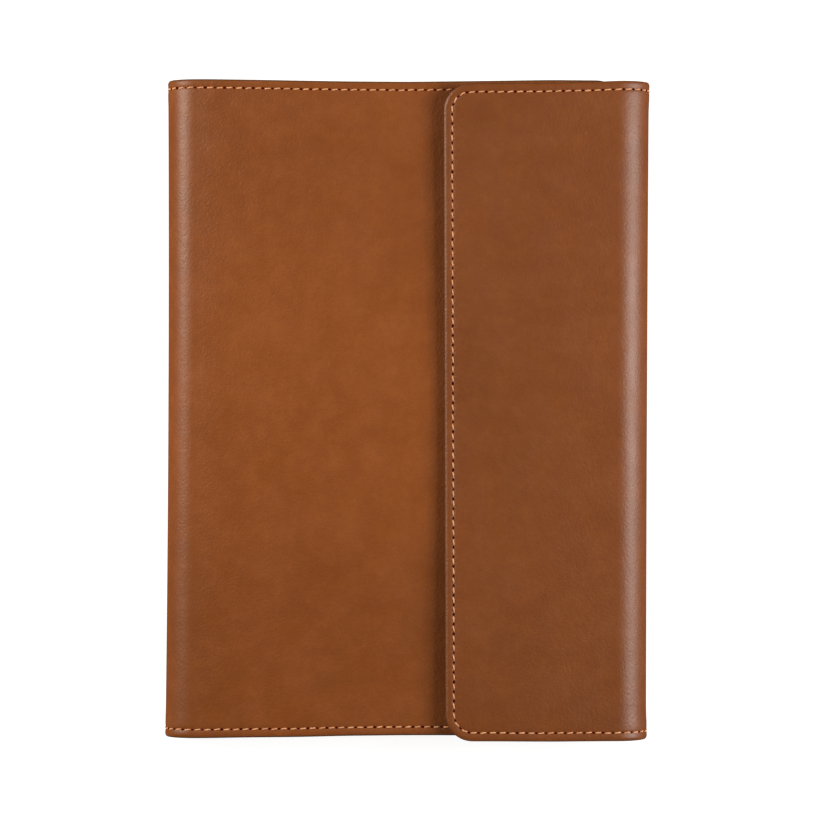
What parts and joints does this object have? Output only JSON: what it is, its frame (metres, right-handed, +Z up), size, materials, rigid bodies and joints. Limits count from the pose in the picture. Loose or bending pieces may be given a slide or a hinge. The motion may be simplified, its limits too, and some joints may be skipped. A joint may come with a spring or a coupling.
{
  "type": "leather notebook cover",
  "caption": "Tan leather cover holding a notebook, with a half-round spine, stitched edges, and a flap that folds over the front and is held by a hidden magnet.",
  "frame": {"origin": "centre of the face that the closed cover lies on, at the bottom of its bounding box", "axes": "+Z up out of the front cover, +Y towards the head of the notebook along the spine, +X from the spine towards the fold of the flap"},
  "size_m": [0.168, 0.23, 0.022],
  "materials": {
    "leather": "semi-matte smooth full-grain, tan",
    "sleeve_leather": "semi-matte smooth, thin",
    "suede": "matte suede, brown",
    "thread": "waxed twisted thread, light tan",
    "board": "matte grey-brown board",
    "magnet": "nickel-plated satin",
    "steel": "satin",
    "notebook_card": "matte embossed card, near black",
    "paper": "matte ivory",
    "tape": "matte book cloth, brown"
  },
  "bodies": {
    "back": {"back_cover_leather": "leather", "back_lining": "suede", "back_stiffener": "board", "back_sleeve": "sleeve_leather", "back_thread": "thread", "notebook_back_cover": "notebook_card", "back_pages": "paper", "back_spine_tape": "tape"},
    "spine": {"spine_leather": "leather", "spine_lining": "suede", "spine_thread": "thread"},
    "front": {"front_cover_leather": "leather", "front_lining": "suede", "front_stiffener": "board", "front_sleeve": "sleeve_leather", "front_keeper": "steel", "front_thread": "thread", "notebook_front_cover": "notebook_card"},
    "pages": {"front_pages": "paper", "front_spine_tape": "tape"},
    "fold": {"fold_leather": "leather", "fold_lining": "suede", "fold_thread": "thread"},
    "flap": {"flap_leather": "leather", "flap_lining": "suede", "flap_thread": "thread", "flap_magnet": "magnet"}
  },
  "joints": [
    {"name": "cover_open", "type": "hinge", "parent": "back", "child": "spine", "pos_m": [-0.08122, 0, 0.00278], "axis": [0, -1, 0], "range_deg": [0, 90]},
    {"name": "cover_fold", "type": "hinge", "parent": "spine", "child": "front", "pos_m": [-0.08122, 0, 0.01622], "axis": [0, -1, 0], "range_deg": [0, 90]},
    {"name": "page_turn", "type": "hinge", "parent": "back", "child": "pages", "pos_m": [-0.0765, 0, 0.0095], "axis": [0, -1, 0], "range_deg": [0, 180]},
    {"name": "fold_open", "type": "hinge", "parent": "back", "child": "fold", "pos_m": [0.08078, 0, 0.00322], "axis": [0, 1, 0], "range_deg": [0, 90]},
    {"name": "flap_open", "type": "hinge", "parent": "fold", "child": "flap", "pos_m": [0.08078, 0, 0.01878], "axis": [0, 1, 0], "range_deg": [0, 90]}
  ],
  "couplings": [
    {"joint": "cover_fold", "follows": "cover_open", "ratio": 1},
    {"joint": "page_turn", "follows": "cover_open", "ratio": 2}
  ]
}
